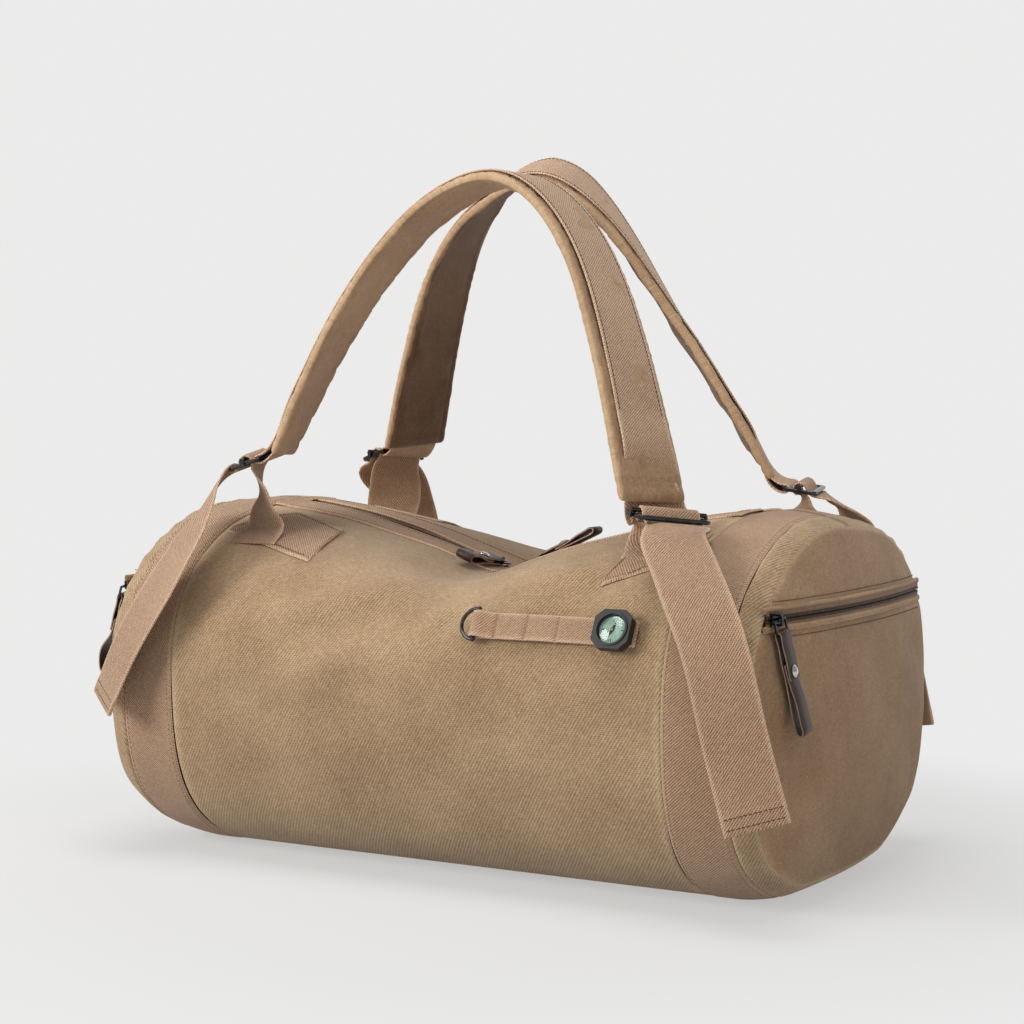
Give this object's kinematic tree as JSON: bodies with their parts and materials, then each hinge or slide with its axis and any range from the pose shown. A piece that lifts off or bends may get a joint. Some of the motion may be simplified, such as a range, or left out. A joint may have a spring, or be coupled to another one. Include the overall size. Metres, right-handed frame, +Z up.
{
  "type": "duffel bag",
  "caption": "Barrel duffel bag in waxed canvas with webbing bands, padded shoulder straps on slide buckles, sagging top zip, zipped end pockets and a strip with a ring and compass.",
  "frame": {"origin": "middle of the flat base, on the surface the bag stands on", "axes": "+X along the bag toward the end nearer the compass, -Y to the side with the utility strip, +Z up"},
  "size_m": [0.6403, 0.3981, 0.553],
  "materials": {
    "canvas": "waxed khaki canvas",
    "webbing": "twill webbing, rosy brown",
    "pocket_cloth": "plain cotton",
    "foam": "closed cell foam",
    "zip_tape": "woven tape, dark brown",
    "zip_coil": "nylon coil, dark brown",
    "gunmetal": "gunmetal plating, polished",
    "leather": "dark brown, raw cut edges",
    "rivet_nickel": "nickel plated",
    "compass_case": "moulded, satin black",
    "compass_card": "printed card, pale green",
    "compass_glass": "clear dome",
    "compass_pin": "turned pin"
  },
  "bodies": {
    "bag": {"main_panel": "canvas", "gusset_left": "canvas", "gusset_right": "canvas", "end_upper_left": "canvas", "end_upper_right": "canvas", "end_lower_left": "canvas", "end_lower_right": "canvas", "band_left": "webbing", "band_right": "webbing", "zip_facings": "webbing", "patches_front": "webbing", "patches_rear": "webbing", "utility_strip": "webbing", "pocket_dividers": "pocket_cloth", "main_zip_tapes": "zip_tape", "end_zip_tapes_left": "zip_tape", "end_zip_tapes_right": "zip_tape", "main_zip_teeth": "zip_coil", "end_zip_teeth_left": "zip_coil", "end_zip_teeth_right": "zip_coil", "compass_housing": "compass_case", "compass_bezel": "compass_case", "compass_lens": "compass_glass", "compass_pivot": "compass_pin"},
    "strap_front": {"strap_cover_front": "canvas", "strap_foam_front": "foam", "strap_facing_front": "webbing", "anchor_webbing_front": "webbing", "buckle_frames_front": "gunmetal", "buckle_bars_front": "gunmetal"},
    "strap_rear": {"strap_cover_rear": "canvas", "strap_foam_rear": "foam", "strap_facing_rear": "webbing", "anchor_webbing_rear": "webbing", "buckle_frames_rear": "gunmetal", "buckle_bars_rear": "gunmetal"},
    "tail_front_left": {"tail_front_left": "webbing"},
    "tail_front_right": {"tail_front_right": "webbing"},
    "tail_rear_left": {"tail_rear_left": "webbing"},
    "tail_rear_right": {"tail_rear_right": "webbing"},
    "d_ring": {"d_ring": "gunmetal"},
    "compass_dial": {"compass_dial": "compass_card"},
    "slider_main_left": {"slider_main_left": "gunmetal"},
    "pull_main_left": {"pull_link_main_left": "gunmetal", "pull_main_left": "leather", "pull_rivet_main_left": "rivet_nickel"},
    "slider_main_right": {"slider_main_right": "gunmetal"},
    "pull_main_right": {"pull_link_main_right": "gunmetal", "pull_main_right": "leather", "pull_rivet_main_right": "rivet_nickel"},
    "slider_end_left": {"slider_end_left": "gunmetal"},
    "pull_end_left": {"pull_link_end_left": "gunmetal", "pull_end_left": "leather", "pull_rivet_end_left": "rivet_nickel"},
    "slider_end_right": {"slider_end_right": "gunmetal"},
    "pull_end_right": {"pull_link_end_right": "gunmetal", "pull_end_right": "leather", "pull_rivet_end_right": "rivet_nickel"}
  },
  "joints": [
    {"name": "strap_front_swing", "type": "hinge", "parent": "bag", "child": "strap_front", "pos_m": [0, -0.1, 0.263], "axis": [1, 0, 0], "range_deg": [-3, 28]},
    {"name": "strap_rear_swing", "type": "hinge", "parent": "bag", "child": "strap_rear", "pos_m": [0, 0.1, 0.263], "axis": [-1, 0, 0], "range_deg": [-3, 28]},
    {"name": "tail_front_left_hang", "type": "hinge", "parent": "strap_front", "child": "tail_front_left", "pos_m": [-0.207, -0.126, 0.2917], "axis": [1, 0, 0], "range_deg": [-29, 4]},
    {"name": "tail_front_right_hang", "type": "hinge", "parent": "strap_front", "child": "tail_front_right", "pos_m": [0.203, -0.13, 0.268], "axis": [1, 0, 0], "range_deg": [-29, 4]},
    {"name": "tail_rear_left_hang", "type": "hinge", "parent": "strap_rear", "child": "tail_rear_left", "pos_m": [-0.2054, 0.1353, 0.2897], "axis": [-1, 0, 0], "range_deg": [-29, 4]},
    {"name": "tail_rear_right_hang", "type": "hinge", "parent": "strap_rear", "child": "tail_rear_right", "pos_m": [0.216, 0.135, 0.2775], "axis": [-1, 0, 0], "range_deg": [-29, 4]},
    {"name": "slider_main_left_travel", "type": "hinge", "parent": "bag", "child": "slider_main_left", "pos_m": [-0.3, 0, -0.498], "axis": [0, -1, 0], "range_deg": [0, 13.3]},
    {"name": "pull_main_left_lift", "type": "hinge", "parent": "slider_main_left", "child": "pull_main_left", "pos_m": [-0.01655, 0, 0.23297], "axis": [-0.9324, 0, 0.3615], "range_deg": [0, 100]},
    {"name": "slider_end_left_travel", "type": "hinge", "parent": "bag", "child": "slider_end_left", "pos_m": [0.53802, 0, 0.211], "axis": [0, 0, -1], "range_deg": [0, 18.6]},
    {"name": "pull_end_left_lift", "type": "hinge", "parent": "slider_end_left", "child": "pull_end_left", "pos_m": [-0.28814, -0.1381, 0.211], "axis": [0, 0.9857, 0.1688], "range_deg": [0, 100]},
    {"name": "slider_main_right_travel", "type": "hinge", "parent": "bag", "child": "slider_main_right", "pos_m": [0.3, 0, -0.498], "axis": [0, 1, 0], "range_deg": [0, 13.3]},
    {"name": "pull_main_right_lift", "type": "hinge", "parent": "slider_main_right", "child": "pull_main_right", "pos_m": [0.01655, 0, 0.23297], "axis": [0, -1, 0], "range_deg": [0, 100]},
    {"name": "slider_end_right_travel", "type": "hinge", "parent": "bag", "child": "slider_end_right", "pos_m": [-0.53802, 0, 0.211], "axis": [0, 0, 1], "range_deg": [0, 18.6]},
    {"name": "pull_end_right_lift", "type": "hinge", "parent": "slider_end_right", "child": "pull_end_right", "pos_m": [0.28814, -0.1381, 0.211], "axis": [0, -0.9876, -0.1569], "range_deg": [0, 100]},
    {"name": "d_ring_flip", "type": "hinge", "parent": "bag", "child": "d_ring", "pos_m": [0.062, -0.16711, 0.19951], "axis": [0, 0.4324, 0.9017], "range_deg": [0, 126]},
    {"name": "compass_turn", "type": "hinge", "parent": "bag", "child": "compass_dial", "pos_m": [0.176, -0.16981, 0.20081], "axis": [0, -0.9017, 0.4324], "continuous": true}
  ],
  "couplings": [
    {"joint": "tail_front_left_hang", "follows": "strap_front_swing", "ratio": -1},
    {"joint": "tail_front_right_hang", "follows": "strap_front_swing", "ratio": -1},
    {"joint": "tail_rear_left_hang", "follows": "strap_rear_swing", "ratio": -1},
    {"joint": "tail_rear_right_hang", "follows": "strap_rear_swing", "ratio": -1}
  ]
}
